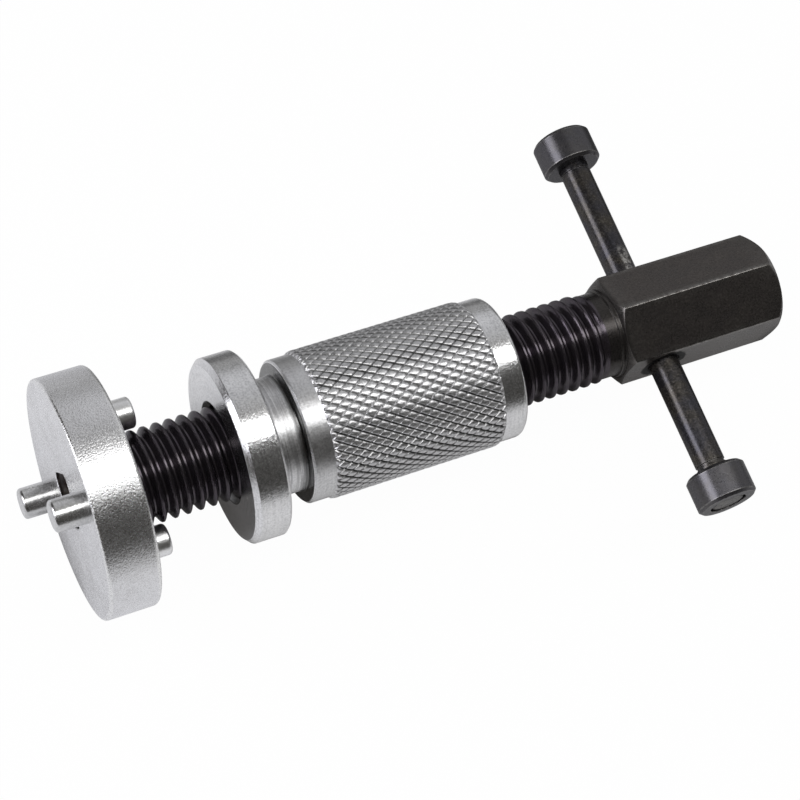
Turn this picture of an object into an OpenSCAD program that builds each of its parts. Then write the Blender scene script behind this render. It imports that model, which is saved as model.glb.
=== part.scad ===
// Wind-back tool for brake caliper pistons.
// The X axis is the tool's axis: the adaptor disc is at -X and the hex head at +X.
// The sliding tommy bar lies along Y, and Z is up.
// X = 0 is the flange face that bears on a slotted reaction plate held in the groove.

/* [Thrust sleeve] */
// Diameter of the flange that bears on the reaction plate
flange_d = 36; // [34:0.5:42]
// Thickness of the flange
flange_t = 7; // [5:0.5:10]
// Chamfer on the front rim of the flange
flange_chamfer = 1; // [0.4:0.1:1.5]
// Diameter of the neck inside the plate groove
neck_d = 22.5; // [21.5:0.5:25]
// Width of the plate groove
groove_w = 6; // [5:0.5:9]
// Diameter of the plain collars at both ends of the grip
collar_d = 28; // [27:0.5:32]
// Width of the collar next to the groove
front_collar_w = 4.4; // [3:0.2:7]
// Width of the collar at the open end
rear_collar_w = 4.8; // [3:0.2:7]
// Height of the knurled band above the collars
knurl_rise = 0.5; // [0.2:0.1:1]
// Length of the knurled band
grip_len = 34.8; // [25:0.2:45]
// Radius of the rounded rim at the open end
rear_round = 1; // [0.5:0.1:2]
// Chamfer on the other rims of the sleeve
rim_chamfer = 0.5; // [0.2:0.1:0.8]
// Chamfer where the spindle enters the bore
bore_chamfer = 0.9; // [0.4:0.1:1.4]
// Radial running clearance of the spindle in the sleeve
thread_clearance = 0.08; // [0.02:0.01:0.1]

/* [Spindle] */
// Diameter over the thread
thread_d = 18; // [16:0.5:20]
// Pitch of the thread
thread_pitch = 2.5; // [1.5:0.25:3]
// Chamfer at the start of the thread
thread_chamfer = 1.2; // [0.5:0.1:1.6]
// Distance from the shoulder to the middle of the first thread groove
thread_start = 1.36; // [1.2:0.02:3]
// Gap between the adaptor disc and the front face of the flange
reach = 20; // [18:0.5:30]
// Length of thread that stands out behind the sleeve
rear_thread_len = 19.5; // [12:0.5:40]
// Diameter of the plain neck behind the thread
relief_d = 17; // [14:0.2:17.4]
// Length of the plain neck behind the thread, with the run-out
relief_len = 3.4; // [2:0.2:12]
// Length of the cone where the thread runs out
runout_len = 1; // [0.5:0.1:1.6]
// Diameter of the small step between the plain neck and the hex head
step_d = 17.8; // [17.5:0.1:18.2]
// Length of the small step in front of the hex head
step_len = 0.8; // [0.4:0.1:2]

/* [Hex head] */
// Size across the flats of the hex head
hex_af = 19; // [18.5:0.5:24]
// Length of the hex head
hex_len = 34.7; // [26:0.1:45]
// Diameter of the flat ring left on both ends of the hex head
hex_land_d = 18.4; // [17.4:0.1:18.4]
// Slope of the turned chamfer on the front of the hex head, against its end face
hex_front_slope = 30; // [20:1:50]
// Slope of the turned chamfer on the back of the hex head, against its end face
hex_back_slope = 45; // [20:1:55]
// Distance of the tommy bar from the front of the hex head
bar_hole_x = 8.6; // [6:0.1:13]
// Chamfer at both mouths of the cross hole
bar_hole_chamfer = 0.4; // [0.2:0.1:0.8]

/* [Drive square] */
// Size across the flats of the drive square
square_af = 10; // [9:0.1:10.6]
// Clearance of the square in the disc, over both sides together
square_clearance = 0.4; // [0.3:0.05:0.6]
// Turn of the square against the hex flats
square_angle = 25; // [0:1:45]
// Distance from the disc's front face back to the end of the square
square_recess = 0.4; // [0.2:0.1:1.5]
// Diameter that the corners of the square are turned down to
square_corner_d = 13; // [12.4:0.1:13.4]
// Chamfer on the end of the square
square_chamfer = 0.8; // [0.4:0.1:1.2]
// Gap between the disc and the shoulder that it seats on
shoulder_gap = 0.05; // [0.02:0.01:0.2]

/* [Retaining ring] */
// Wire diameter of the retaining ring
ring_wire_d = 1.2; // [0.8:0.1:1.4]
// Distance from the end of the square to the middle of the ring
ring_inset = 4.2; // [3:0.1:6]
// Angle of the gap in the retaining ring
ring_gap_angle = 50; // [30:5:90]
// Clearance of the retaining ring in its groove and in the disc
ring_clearance = 0.1; // [0.05:0.01:0.15]

/* [Adaptor disc] */
// Diameter of the disc
disc_d = 46; // [44:0.5:60]
// Thickness of the disc
disc_t = 10; // [8:0.5:14]
// Radius of the rounded rims of the disc
disc_round = 0.8; // [0.3:0.1:1.5]

/* [Drive pins] */
// Diameter of the drive pins
pin_d = 6; // [4:0.2:7]
// Length that the front pins stand out of the disc
front_pin_out = 6; // [3:0.5:9]
// Distance of the front pins' centres from the rim of the disc
front_pin_inset = 7; // [5:0.5:9]
// Length that the rear pins stand out of the disc
rear_pin_out = 6; // [3:0.5:9]
// Gap between the rear pins and the thread
rear_pin_gap = 0.2; // [0.1:0.1:3]
// Step of the cone from the head of each pin down to its pressed shank
pin_shoulder = 0.25; // [0.1:0.05:0.5]
// Depth to which the head of each pin sinks into the countersunk mouth of its hole
head_sink = 0.05; // [0.02:0.01:0.08]
// Depth to which each pin is pressed into the disc
pin_seat = 6; // [4:0.5:7.5]
// Room left under each pin in its hole
pin_bottom_gap = 0.3; // [0.1:0.1:0.5]
// Radius of the rounded ends of each pin
pin_round = 0.7; // [0.3:0.1:1]
// Radial gap drawn at each pressed fit
press_gap = 0.01; // [0.005:0.005:0.02]

/* [Tommy bar] */
// Diameter of the bar
bar_d = 6; // [5:0.1:6.4]
// Radial running clearance of the bar in the hex head
bar_clearance = 0.1; // [0.03:0.01:0.1]
// Distance between the outer faces of the two collars
bar_span = 82.6; // [60:0.2:140]
// Shift of the bar from the middle, towards +Y
bar_shift = 1; // [-4:0.1:4]
// Height of the riveted head on each end, beyond the bar's own radius
rivet_flare = 0.5; // [0.3:0.1:0.8]
// Length of the riveted head
rivet_len = 0.9; // [0.5:0.1:1.4]
// Distance of the turned groove from the collar beside it
stop_groove_inset = 1; // [0.5:0.1:2]
// Width of the turned groove beside each collar
stop_groove_w = 0.6; // [0.3:0.1:1]
// Depth of the turned groove beside each collar
stop_groove_depth = 0.25; // [0.1:0.05:0.4]

/* [Tommy bar collars] */
// Diameter of the collars
bar_collar_d = 12; // [10:0.5:14]
// Length of the collars
bar_collar_len = 7; // [5:0.5:10]
// Chamfer on the rims of the collars
bar_collar_chamfer = 0.6; // [0.3:0.1:1]
// Distance from the outer face of a collar back to the riveted head
rivet_recess = 0.5; // [0.2:0.1:1]
// Radial gap round the riveted head
rivet_gap = 0.2; // [0.1:0.05:0.4]

/* [Hidden] */
$fn = 96;
arc_steps = 6;
over = 1;

bright = [0.80, 0.80, 0.79];
satin = [0.66, 0.66, 0.64];
black = [0.13, 0.13, 0.14];

// Stations along X
flange_front = -flange_t;
grip_front = groove_w;
knurl_front = grip_front + front_collar_w;
knurl_back = knurl_front + grip_len;
sleeve_back = knurl_back + rear_collar_w;
disc_back = flange_front - reach;
disc_front = disc_back - disc_t;
square_end = disc_front + square_recess;
shoulder = disc_back + shoulder_gap;
ring_x = square_end + ring_inset;
thread_back = sleeve_back + rear_thread_len;
step_front = thread_back + relief_len;
hex_front = step_front + step_len;
hex_back = hex_front + hex_len;
bar_x = hex_front + bar_hole_x;

// Radii and half sizes
bore_r = thread_d / 2 + thread_clearance;
thread_r = thread_d / 2;
thread_depth = 5 / 8 * thread_pitch * cos(30);
thread_root = thread_pitch / 4;
thread_mouth = thread_pitch * 7 / 8;
collar_r = collar_d / 2;
knurl_r = collar_r + knurl_rise;
hole_af = square_af + square_clearance;
ring_r = hole_af / 2 - ring_clearance - ring_wire_d / 2;
ring_groove_r = ring_r - ring_wire_d / 2 - ring_clearance;
ring_groove_w = ring_wire_d + ring_clearance;
front_pin_spacing = disc_d - 2 * front_pin_inset;
rear_pin_spacing = thread_d + pin_d + 2 * rear_pin_gap;
pin_shank_r = pin_d / 2 - pin_shoulder;
hex_corner_d = hex_af / cos(30);
hex_cone_r = hex_corner_d / 2 + over;
hex_cone_rise = hex_cone_r - hex_land_d / 2;
bar_r = bar_d / 2;
bar_hole_r = bar_r + bar_clearance;
bar_inner = bar_span / 2 - bar_collar_len;
bar_tip = bar_span / 2 - rivet_recess;
rivet_r = bar_r + rivet_flare;
rivet_seat = bar_tip - rivet_len;
groove_end = bar_inner - stop_groove_inset;
groove_start = groove_end - stop_groove_w;

// A solid of revolution about X, from [x, radius] points
module turned(points) {
    rotate([0, 90, 0]) rotate_extrude() polygon([for (p = points) [p[1], p[0]]]);
}

// A solid of revolution about Y, from [y, radius] points
module turned_y(points) {
    rotate([-90, 0, 0]) rotate_extrude() polygon([for (p = points) [p[1], p[0]]]);
}

// A quarter round about [x, r] that turns clockwise from angle a
function quarter(x, r, size, a) =
    [for (i = [0 : arc_steps]) let (t = a - 90 * i / arc_steps) [x + size * cos(t), r + size * sin(t)]];

// Flange, plate groove and knurled grip in one turned piece
module thrust_sleeve() {
    flange_r = flange_d / 2;
    color(bright) turned(concat(
        [
            [flange_front + bore_chamfer, bore_r],
            [flange_front, bore_r + bore_chamfer],
            [flange_front, flange_r - flange_chamfer],
            [flange_front + flange_chamfer, flange_r],
            [-rim_chamfer, flange_r],
            [0, flange_r - rim_chamfer],
            [0, neck_d / 2],
            [grip_front, neck_d / 2],
            [grip_front, collar_r - rim_chamfer],
            [grip_front + rim_chamfer, collar_r],
            [knurl_front, collar_r],
            [knurl_front + knurl_rise, knurl_r],
            [knurl_back - knurl_rise, knurl_r],
            [knurl_back, collar_r]
        ],
        quarter(sleeve_back - rear_round, collar_r - rear_round, rear_round, 90),
        [
            [sleeve_back, bore_r + bore_chamfer],
            [sleeve_back - bore_chamfer, bore_r]
        ]
    ));
}

// Square bar along X with its corners turned down and chamfered
module drive_square() {
    corner_r = square_corner_d / 2;
    length = shoulder - square_end + over;
    intersection() {
        translate([square_end, 0, 0]) rotate([square_angle, 0, 0])
            translate([0, -square_af / 2, -square_af / 2]) cube([length, square_af, square_af]);
        turned([
            [square_end, 0],
            [square_end, corner_r - square_chamfer],
            [square_end + square_chamfer, corner_r],
            [square_end + length, corner_r],
            [square_end + length, 0]
        ]);
    }
}

// Hex bar with turned chamfers at both ends
module hex_head() {
    land_r = hex_land_d / 2;
    intersection() {
        translate([hex_front, 0, 0]) rotate([0, 90, 0]) cylinder(d = hex_corner_d, h = hex_len, $fn = 6);
        turned([
            [hex_front, 0],
            [hex_front, land_r],
            [hex_front + hex_cone_rise * tan(hex_front_slope), hex_cone_r],
            [hex_back - hex_cone_rise * tan(hex_back_slope), hex_cone_r],
            [hex_back, land_r],
            [hex_back, 0]
        ]);
    }
}

// Cross hole for the tommy bar, with a countersunk mouth on both flats
module bar_hole() {
    hole_len = hex_corner_d + 2 * over;
    translate([bar_x, 0, 0]) rotate([-90, 0, 0]) {
        translate([0, 0, -hole_len / 2]) cylinder(r = bar_hole_r, h = hole_len);
        for (side = [0, 1]) mirror([0, 0, side])
            translate([0, 0, hex_af / 2 - bar_hole_chamfer])
                cylinder(r1 = bar_hole_r, r2 = bar_hole_r + bar_hole_chamfer + over, h = bar_hole_chamfer + over);
    }
}

// Outline of one thread groove on the [radius, x] plane, with its flanks carried on past the crests
module thread_groove(x) {
    mouth = thread_mouth / 2 + over * tan(30);
    polygon([
        [thread_r - thread_depth, x - thread_root / 2],
        [thread_r + over, x - mouth],
        [thread_r + over, x + mouth],
        [thread_r - thread_depth, x + thread_root / 2]
    ]);
}

// Screw and plain neck. A row of grooves at the pitch stands for the thread's helix
module screw() {
    first = shoulder + thread_start;
    last = thread_back - thread_mouth / 2;
    outline = [
        [shoulder, 0],
        [shoulder, thread_r - thread_chamfer],
        [shoulder + thread_chamfer, thread_r],
        [thread_back, thread_r],
        [thread_back + runout_len, relief_d / 2],
        [step_front, relief_d / 2],
        [step_front, step_d / 2],
        [hex_front + over, step_d / 2],
        [hex_front + over, 0]
    ];
    rotate([0, 90, 0]) rotate_extrude() difference() {
        polygon([for (p = outline) [p[1], p[0]]]);
        for (x = [first : thread_pitch : last]) thread_groove(x);
    }
}

// Threaded spindle with its drive square and hex head, made from one bar
module spindle() {
    color(black) difference() {
        union() {
            drive_square();
            screw();
            hex_head();
        }
        bar_hole();
        turned([
            [ring_x - ring_groove_w / 2, ring_groove_r],
            [ring_x - ring_groove_w / 2, square_corner_d],
            [ring_x + ring_groove_w / 2, square_corner_d],
            [ring_x + ring_groove_w / 2, ring_groove_r]
        ]);
    }
}

// Open wire ring that grips the disc from a groove round the drive square
module retaining_ring() {
    color(bright) translate([ring_x, 0, 0]) rotate([0, 90, 0])
        rotate_extrude(angle = 360 - ring_gap_angle) translate([ring_r, 0]) circle(d = ring_wire_d);
}

// Puts its children at a drive pin's place on the disc, looking along -X or +X
module at_pin(spacing, angle, face, out) {
    rotate([angle, 0, 0]) translate([face, spacing / 2, 0]) rotate([0, 90 * out, 0]) children();
}

// Puts its children at the front pin on the given side of the axis
module at_front_pin(side) {
    at_pin(front_pin_spacing, square_angle + 90 * side, disc_front, -1) children();
}

// Puts its children at the rear pin on the given side of the axis
module at_rear_pin(side) {
    at_pin(rear_pin_spacing, square_angle + 90 - 90 * side, disc_back, 1) children();
}

// Blind hole for a pressed pin, with its countersunk mouth at Z = 0
module pin_hole() {
    depth = pin_seat + pin_bottom_gap;
    hole_r = pin_shank_r + press_gap;
    mouth_r = pin_d / 2 + head_sink + 2 * press_gap;
    mouth_depth = mouth_r - hole_r;
    translate([0, 0, -depth]) cylinder(r = hole_r, h = depth);
    translate([0, 0, -mouth_depth]) cylinder(r1 = hole_r, r2 = mouth_r + over, h = mouth_depth + over);
}

// Pin whose head stands out along +Z from a conical shoulder, with its shank pressed in and both ends rounded
module drive_pin(out) {
    head_r = pin_d / 2;
    shank_end = quarter(-pin_seat + pin_round, pin_shank_r - pin_round, pin_round, 180);
    head_end = quarter(out - pin_round, head_r - pin_round, pin_round, 90);
    color(bright) rotate_extrude() polygon(concat(
        [[0, -pin_seat]],
        [for (p = shank_end) [p[1], p[0]]],
        [[pin_shank_r, -head_sink - pin_shoulder], [head_r, -head_sink]],
        [for (p = head_end) [p[1], p[0]]],
        [[0, out]]
    ));
}

// Round disc that turns the piston, with a square hole and blind holes for its pins
module adaptor_disc() {
    inner_r = disc_d / 2 - disc_round;
    color(satin) difference() {
        turned(concat(
            [[disc_front, 0]],
            quarter(disc_front + disc_round, inner_r, disc_round, 180),
            quarter(disc_back - disc_round, inner_r, disc_round, 90),
            [[disc_back, 0]]
        ));
        translate([disc_front - over, 0, 0]) rotate([square_angle, 0, 0])
            translate([0, -hole_af / 2, -hole_af / 2]) cube([disc_t + 2 * over, hole_af, hole_af]);
        for (side = [-1, 1]) {
            at_front_pin(side) pin_hole();
            at_rear_pin(side) pin_hole();
        }
    }
}

module front_drive_pin_near() {
    at_front_pin(1) drive_pin(front_pin_out);
}

module front_drive_pin_far() {
    at_front_pin(-1) drive_pin(front_pin_out);
}

module rear_drive_pin_upper() {
    at_rear_pin(1) drive_pin(rear_pin_out);
}

module rear_drive_pin_lower() {
    at_rear_pin(-1) drive_pin(rear_pin_out);
}

// Half of the bar's outline, from its middle out to the riveted end on the given side
function bar_half(side) = [
    [side * groove_start, bar_r],
    [side * groove_start, bar_r - stop_groove_depth],
    [side * groove_end, bar_r - stop_groove_depth],
    [side * groove_end, bar_r],
    [side * rivet_seat, bar_r],
    [side * rivet_seat, rivet_r],
    [side * bar_tip, rivet_r],
    [side * bar_tip, 0]
];

// Sliding bar with a turned groove and a riveted head at both ends
module tommy_bar() {
    back = bar_half(-1);
    color(black) translate([bar_x, bar_shift, 0])
        turned_y(concat([for (i = [len(back) - 1 : -1 : 0]) back[i]], bar_half(1)));
}

// Collar held on the end of the bar at +Y by the riveted head in its counterbore
module bar_collar() {
    outer = bar_span / 2;
    hole_r = bar_r + press_gap;
    seat_r = rivet_r + rivet_gap;
    rim_r = bar_collar_d / 2;
    seat = rivet_seat - press_gap;
    color(black) turned_y([
        [bar_inner, hole_r],
        [bar_inner, rim_r - bar_collar_chamfer],
        [bar_inner + bar_collar_chamfer, rim_r],
        [outer - bar_collar_chamfer, rim_r],
        [outer, rim_r - bar_collar_chamfer],
        [outer, seat_r],
        [seat, seat_r],
        [seat, hole_r]
    ]);
}

module tommy_bar_collar_upper() {
    translate([bar_x, bar_shift, 0]) bar_collar();
}

module tommy_bar_collar_lower() {
    translate([bar_x, bar_shift, 0]) mirror([0, 1, 0]) bar_collar();
}

thrust_sleeve();
spindle();
retaining_ring();
adaptor_disc();
front_drive_pin_near();
front_drive_pin_far();
rear_drive_pin_upper();
rear_drive_pin_lower();
tommy_bar();
tommy_bar_collar_upper();
tommy_bar_collar_lower();
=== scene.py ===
"""Dresses a brake caliper piston wind-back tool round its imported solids.

The X axis is the tool's axis, the tommy bar lies along Y and Z is up. Sizes in the
dataclasses are in millimetres, and meshes are in metres.
"""

import logging
import math
from dataclasses import dataclass
from enum import Enum
from typing import Callable, Optional, Sequence, Union

import bmesh
import bpy
from mathutils import Matrix, Vector


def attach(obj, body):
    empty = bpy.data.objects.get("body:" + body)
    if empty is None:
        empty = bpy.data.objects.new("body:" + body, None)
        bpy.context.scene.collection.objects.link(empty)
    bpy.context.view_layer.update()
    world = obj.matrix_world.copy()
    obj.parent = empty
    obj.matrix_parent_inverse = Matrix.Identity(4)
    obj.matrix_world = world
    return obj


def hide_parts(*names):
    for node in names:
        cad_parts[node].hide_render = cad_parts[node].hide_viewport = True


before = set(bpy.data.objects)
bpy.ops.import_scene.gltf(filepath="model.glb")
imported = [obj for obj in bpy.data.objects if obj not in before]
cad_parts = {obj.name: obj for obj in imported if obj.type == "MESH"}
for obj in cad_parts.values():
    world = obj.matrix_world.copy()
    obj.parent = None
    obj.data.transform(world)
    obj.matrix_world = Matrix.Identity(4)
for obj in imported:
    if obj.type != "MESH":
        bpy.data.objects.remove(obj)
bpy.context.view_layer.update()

LOG = logging.getLogger("wind_back_tool")
MM = 0.001
TURN = 2 * math.pi
# Points nearer than this are one, in metres
WELD = 1e-7
# Points of a seam nearer than this are one, in metres
SEAM = 1e-6
# What a cut leaves thinner than this is merged, in metres
SLIVER = 2e-6
# A radius under this is a point on the axis, in millimetres
ON_AXIS = 1e-6
# Angle over which an edge stays sharp, in degrees
SHARP = 32.0
Colour = tuple[float, float, float]
Pair = tuple[float, float]
Section = list[tuple[Vector, float]]


class Axis(Enum):
    """The axis that a turned piece is turned about."""

    TOOL = "X"
    BAR = "Y"


class Wire:
    """A node's output, with arithmetic that adds Math nodes to its tree."""

    def __init__(self, graph: "Graph", socket: bpy.types.NodeSocket) -> None:
        """Keeps the tree and the output."""
        self.graph = graph
        self.socket = socket

    def __add__(self, other: "Value") -> "Wire":
        """Sum."""
        return self.graph.math("ADD", self, other)

    def __radd__(self, other: "Value") -> "Wire":
        """Sum, from the right."""
        return self.graph.math("ADD", other, self)

    def __sub__(self, other: "Value") -> "Wire":
        """Difference."""
        return self.graph.math("SUBTRACT", self, other)

    def __rsub__(self, other: "Value") -> "Wire":
        """Difference, from the right."""
        return self.graph.math("SUBTRACT", other, self)

    def __mul__(self, other: "Value") -> "Wire":
        """Product."""
        return self.graph.math("MULTIPLY", self, other)

    def __rmul__(self, other: "Value") -> "Wire":
        """Product, from the right."""
        return self.graph.math("MULTIPLY", other, self)

    def __truediv__(self, other: "Value") -> "Wire":
        """Quotient."""
        return self.graph.math("DIVIDE", self, other)

    def least(self, other: "Value") -> "Wire":
        """Smaller of two values."""
        return self.graph.math("MINIMUM", self, other)

    def most(self, other: "Value") -> "Wire":
        """Larger of two values."""
        return self.graph.math("MAXIMUM", self, other)

    def over(self, edge: "Value") -> "Wire":
        """1 where the value is over the edge, and 0 elsewhere."""
        return self.graph.math("GREATER_THAN", self, edge)

    def under(self, edge: "Value") -> "Wire":
        """1 where the value is under the edge, and 0 elsewhere."""
        return self.graph.math("LESS_THAN", self, edge)

    def sway(self, reach: float) -> "Wire":
        """Turns a value about 0.5 into one about 0, with the given reach from 0 to 1."""
        return (self - 0.5) * reach

    def size(self) -> "Wire":
        """Absolute value."""
        return self.graph.math("ABSOLUTE", self)

    def root(self) -> "Wire":
        """Square root."""
        return self.graph.math("SQRT", self)

    def part(self) -> "Wire":
        """Fractional part."""
        return self.graph.math("FRACT", self)

    def sine(self) -> "Wire":
        """Sine of an angle in radians."""
        return self.graph.math("SINE", self)

    def cosine(self) -> "Wire":
        """Cosine of an angle in radians."""
        return self.graph.math("COSINE", self)

    def rise(self, low: float, high: float) -> "Wire":
        """0 below low, 1 above high, and an eased slope between them.

        Args:
            low: Where the slope starts.
            high: Where it ends.

        Returns:
            The slope's value.
        """
        return self.graph.out(
            "ShaderNodeMapRange",
            {"interpolation_type": "SMOOTHSTEP"},
            {"Value": self, "From Min": low, "From Max": high},
        )

    def rise_mm(self, low: float, high: float) -> "Wire":
        """The same slope, between two places in millimetres."""
        return self.rise(low * MM, high * MM)


Value = Union[Wire, float]


class Graph:
    """Adds nodes to one shader or geometry tree."""

    def __init__(self, tree: bpy.types.NodeTree) -> None:
        """Keeps the tree."""
        self.tree = tree

    def feed(self, socket: bpy.types.NodeSocket, value: object) -> None:
        """Links a wire to an input, or sets the input's own value.

        Args:
            socket: The input.
            value: A wire, a number, a colour, a vector or a data block.
        """
        if isinstance(value, Wire):
            self.tree.links.new(value.socket, socket)
        else:
            socket.default_value = value

    def node(
        self, kind: str, settings: Optional[dict] = None, sockets: Optional[dict] = None
    ) -> bpy.types.Node:
        """Adds one node.

        Args:
            kind: The node's type.
            settings: Attributes that are set first. The key stops fills a colour ramp.
            sockets: Values or wires by the input's name or index.

        Returns:
            The node.
        """
        made = self.tree.nodes.new(kind)
        for key, value in (settings or {}).items():
            if key == "stops":
                self.fill_ramp(made.color_ramp, value)
            else:
                setattr(made, key, value)
        for key, value in (sockets or {}).items():
            self.feed(made.inputs[key], value)
        return made

    @staticmethod
    def fill_ramp(ramp: bpy.types.ColorRamp, stops: Sequence[tuple[float, Colour]]) -> None:
        """Gives a colour ramp its stops.

        Args:
            ramp: The ramp, with its two first stops.
            stops: Places and colours, in rising order.
        """
        while len(ramp.elements) < len(stops):
            ramp.elements.new(1.0)
        for element, (place, colour) in zip(ramp.elements, stops):
            element.position = place
            element.color = (*colour, 1.0)

    def out(
        self,
        kind: str,
        settings: Optional[dict] = None,
        sockets: Optional[dict] = None,
        output: Union[int, str] = 0,
    ) -> Wire:
        """Adds one node and gives one of its outputs.

        Args:
            kind: The node's type.
            settings: Attributes that are set first.
            sockets: Values or wires by the input's name or index.
            output: The output's name or index.

        Returns:
            The output's wire.
        """
        return Wire(self, self.node(kind, settings, sockets).outputs[output])

    def math(self, operation: str, *values: Value) -> Wire:
        """Adds a Math node for one or two values."""
        return self.out("ShaderNodeMath", {"operation": operation}, dict(enumerate(values)))

    def axes(self, vector: Wire) -> tuple[Wire, Wire, Wire]:
        """Splits a vector.

        Args:
            vector: The vector's wire.

        Returns:
            Its X, Y and Z wires.
        """
        split = self.node("ShaderNodeSeparateXYZ", None, {0: vector})
        x, y, z = (Wire(self, output) for output in split.outputs)
        return x, y, z

    def vector(self, x: Value, y: Value, z: Value) -> Wire:
        """Joins three values into a vector."""
        return self.out("ShaderNodeCombineXYZ", None, {0: x, 1: y, 2: z})

    def coloured(self, kind: str, colour: Colour) -> Wire:
        """Adds a shader of one colour."""
        return self.out(kind, None, {"Color": (*colour, 1.0)})

    def blend(self, factor: Value, first: Wire, second: Wire) -> Wire:
        """Blends two shaders by the share of the second."""
        return self.out("ShaderNodeMixShader", None, {0: factor, 1: first, 2: second})

    def store(self, shape: Wire, name: str, value: Wire, chosen: Union[Wire, bool] = True) -> Wire:
        """Stores a number on the points of a mesh.

        Args:
            shape: The mesh.
            name: The number's name.
            value: The number.
            chosen: Which points get it.

        Returns:
            The mesh with the number.
        """
        return self.out(
            "GeometryNodeStoreNamedAttribute",
            {"data_type": "FLOAT", "domain": "POINT"},
            {"Geometry": shape, "Selection": chosen, "Name": name, "Value": value},
        )


@dataclass(frozen=True)
class Grain:
    """Soft noise: size of its features in millimetres, number of finer layers and their share."""

    feature: float
    layers: float = 2.0
    share: float = 0.5


class Surface(Graph):
    """A procedural material and the patterns that its finish is made of."""

    def __init__(self, name: str) -> None:
        """Makes a material with one main shader.

        Args:
            name: The material's name.
        """
        self.material = bpy.data.materials.new(name)
        self.material.use_nodes = True
        super().__init__(self.material.node_tree)
        self.tree.nodes.clear()
        output = self.node("ShaderNodeOutputMaterial")
        self.shader = self.node("ShaderNodeBsdfPrincipled")
        self.tree.links.new(self.shader.outputs[0], output.inputs[0])
        self.place = self.out("ShaderNodeTexCoord", None, None, "Object")
        self.x, self.y, self.z = self.axes(self.place)

    def attribute(self, name: str) -> Wire:
        """Reads a number that the mesh carries."""
        return self.out("ShaderNodeAttribute", {"attribute_name": name}, None, "Fac")

    def across(self) -> Wire:
        """Distance from the tool's axis, in metres."""
        return (self.y * self.y + self.z * self.z).root()

    def noise(self, grain: Grain, vector: Optional[Wire] = None) -> Wire:
        """Adds soft noise.

        Args:
            grain: Its size and its layers.
            vector: Where it is read, unless at the surface's own place.

        Returns:
            A value about 0.5.
        """
        return self.out("ShaderNodeTexNoise", None, {
            "Vector": vector or self.place,
            "Scale": 1 / (grain.feature * MM),
            "Detail": grain.layers,
            "Roughness": grain.share,
        })

    def rings(self, grain: Grain, along: Wire, across: float) -> Wire:
        """Adds noise that is drawn out into rings about the tool's axis.

        Args:
            grain: Its size and its layers.
            along: The length that the rings follow each other on.
            across: Share of the noise's change that is left round the axis.

        Returns:
            A value about 0.5.
        """
        return self.noise(grain, self.vector(along, self.y * across, self.z * across))

    def mix(self, factor: Value, first: object, second: object) -> Wire:
        """Blends two colours.

        Args:
            factor: Share of the second colour.
            first: A colour or its wire.
            second: A colour or its wire.

        Returns:
            The blend.
        """
        ends = [v if isinstance(v, Wire) else (*v, 1.0) for v in (first, second)]
        return self.out(
            "ShaderNodeMix", {"data_type": "RGBA"}, {0: factor, 6: ends[0], 7: ends[1]}, 2
        )

    def bump(self, height: Wire, depth: float) -> Wire:
        """Turns a height into a normal.

        Args:
            height: Height from 0 to 1.
            depth: Depth of the relief, in millimetres.

        Returns:
            The normal.
        """
        return self.out("ShaderNodeBump", None, {"Height": height, "Distance": depth * MM})

    def finish(self, sockets: dict) -> bpy.types.Material:
        """Sets the main shader's inputs.

        Args:
            sockets: Values or wires by the input's name.

        Returns:
            The material.
        """
        for key, value in sockets.items():
            if isinstance(value, tuple) and len(value) == 3:
                value = (*value, 1.0)
            self.feed(self.shader.inputs[key], value)
        return self.material


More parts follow.
